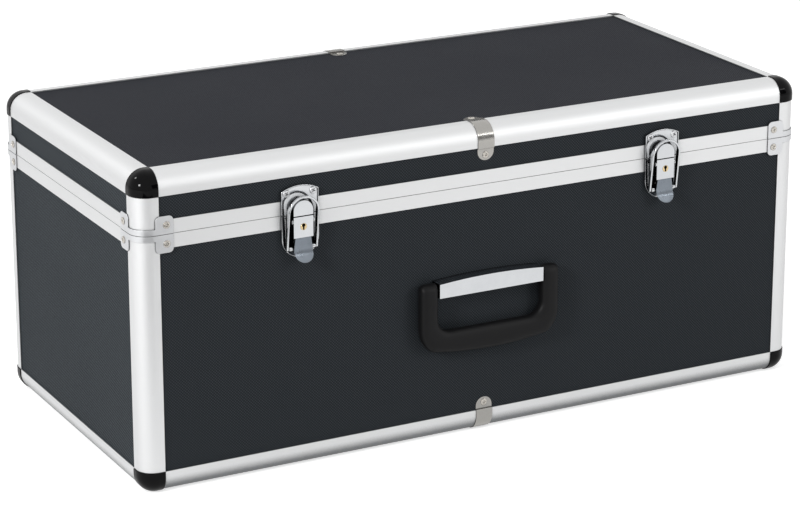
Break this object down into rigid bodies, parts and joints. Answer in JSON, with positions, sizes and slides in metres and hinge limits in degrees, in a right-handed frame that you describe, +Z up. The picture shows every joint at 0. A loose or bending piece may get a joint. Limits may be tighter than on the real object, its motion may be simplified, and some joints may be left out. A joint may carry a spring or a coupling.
{
  "type": "record carrying case",
  "caption": "Hard record carrying case: laminated panels in aluminium edge profiles, moulded corner caps, lid on rear hinges, keyed draw latches on the front and a fold-down carrying handle.",
  "frame": {"origin": "centre of the whole object's footprint, on the surface that its four lower corner caps stand on", "axes": "+X along the long front, to the right as seen from the front; -Y towards the front with the latches and handle; +Z up"},
  "size_m": [0.6536, 0.3251, 0.2816],
  "materials": {
    "aluminium_profile": "satin anodised extrusion",
    "laminate": "black laminate with a fine raised diamond grain",
    "cap_plastic": "glossy moulded plastic",
    "grip_plastic": "satin moulded plastic",
    "zinc_plate": "bright zinc-plated pressed steel",
    "chrome": "polished chrome plate",
    "lever_nickel": "darker nickel plate",
    "steel_nickel": "brushed nickel-plated steel",
    "brass": "turned brass",
    "lining_foam": "thin felted foam"
  },
  "bodies": {
    "base": {"base_front_edge": "aluminium_profile", "base_back_edge": "aluminium_profile", "base_left_edge": "aluminium_profile", "base_right_edge": "aluminium_profile", "base_corner_posts": "aluminium_profile", "base_front_rim": "aluminium_profile", "base_back_rim": "aluminium_profile", "base_left_rim": "aluminium_profile", "base_right_rim": "aluminium_profile", "base_front_panel": "laminate", "base_back_panel": "laminate", "base_left_panel": "laminate", "base_right_panel": "laminate", "base_bottom_panel": "laminate", "base_corner_caps": "cap_plastic", "base_corner_brackets": "zinc_plate", "base_rivets": "zinc_plate", "handle_bracket": "chrome", "left_latch_base": "chrome", "right_latch_base": "chrome", "latch_lever_pins": "chrome", "base_edge_clips": "steel_nickel", "left_hinge_base_leaf": "steel_nickel", "right_hinge_base_leaf": "steel_nickel", "hinge_pins": "steel_nickel", "handle_pins": "steel_nickel", "handle_screws": "steel_nickel", "base_lining": "lining_foam"},
    "lid": {"lid_front_edge": "aluminium_profile", "lid_back_edge": "aluminium_profile", "lid_left_edge": "aluminium_profile", "lid_right_edge": "aluminium_profile", "lid_corner_posts": "aluminium_profile", "lid_front_rim": "aluminium_profile", "lid_back_rim": "aluminium_profile", "lid_left_rim": "aluminium_profile", "lid_right_rim": "aluminium_profile", "lid_top_panel": "laminate", "lid_front_panel": "laminate", "lid_back_panel": "laminate", "lid_left_panel": "laminate", "lid_right_panel": "laminate", "lid_corner_caps": "cap_plastic", "lid_corner_brackets": "zinc_plate", "lid_rivets": "zinc_plate", "left_keeper": "chrome", "right_keeper": "chrome", "lid_edge_clips": "steel_nickel", "hinge_lid_leaves": "steel_nickel", "lid_lining": "lining_foam"},
    "handle": {"handle_grip": "grip_plastic"},
    "left_lever": {"left_latch_lever": "lever_nickel", "left_lock_case": "chrome"},
    "right_lever": {"right_latch_lever": "lever_nickel", "right_lock_case": "chrome"},
    "left_loop": {"left_latch_loop": "chrome"},
    "right_loop": {"right_latch_loop": "chrome"},
    "left_lock": {"left_lock_plug": "brass"},
    "right_lock": {"right_lock_plug": "brass"}
  },
  "joints": [
    {"name": "lid_hinge", "type": "hinge", "parent": "base", "child": "lid", "pos_m": [0, 0.15955, 0.2284], "axis": [-1, 0, 0], "range_deg": [0, 100]},
    {"name": "handle_pivot", "type": "hinge", "parent": "base", "child": "handle", "pos_m": [0, -0.15555, 0.1418], "axis": [-1, 0, 0], "range_deg": [0, 95]},
    {"name": "left_latch_lever", "type": "hinge", "parent": "base", "child": "left_lever", "pos_m": [-0.1785, -0.15475, 0.2236], "axis": [-1, 0, 0], "range_deg": [0, 100]},
    {"name": "left_latch_loop", "type": "hinge", "parent": "left_lever", "child": "left_loop", "pos_m": [-0.1785, -0.15275, 0.1997], "axis": [-1, 0, 0], "range_deg": [-100, 0]},
    {"name": "left_lock_turn", "type": "hinge", "parent": "left_lever", "child": "left_lock", "pos_m": [-0.1785, -0.15375, 0.2188], "axis": [0, -1, 0], "range_deg": [0, 90]},
    {"name": "right_latch_lever", "type": "hinge", "parent": "base", "child": "right_lever", "pos_m": [0.1785, -0.15475, 0.2236], "axis": [-1, 0, 0], "range_deg": [0, 100]},
    {"name": "right_latch_loop", "type": "hinge", "parent": "right_lever", "child": "right_loop", "pos_m": [0.1785, -0.15275, 0.1997], "axis": [-1, 0, 0], "range_deg": [-100, 0]},
    {"name": "right_lock_turn", "type": "hinge", "parent": "right_lever", "child": "right_lock", "pos_m": [0.1785, -0.15375, 0.2188], "axis": [0, -1, 0], "range_deg": [0, 90]}
  ],
  "couplings": [
    {"joint": "left_latch_loop", "follows": "left_latch_lever", "ratio": -1},
    {"joint": "right_latch_loop", "follows": "right_latch_lever", "ratio": -1}
  ]
}
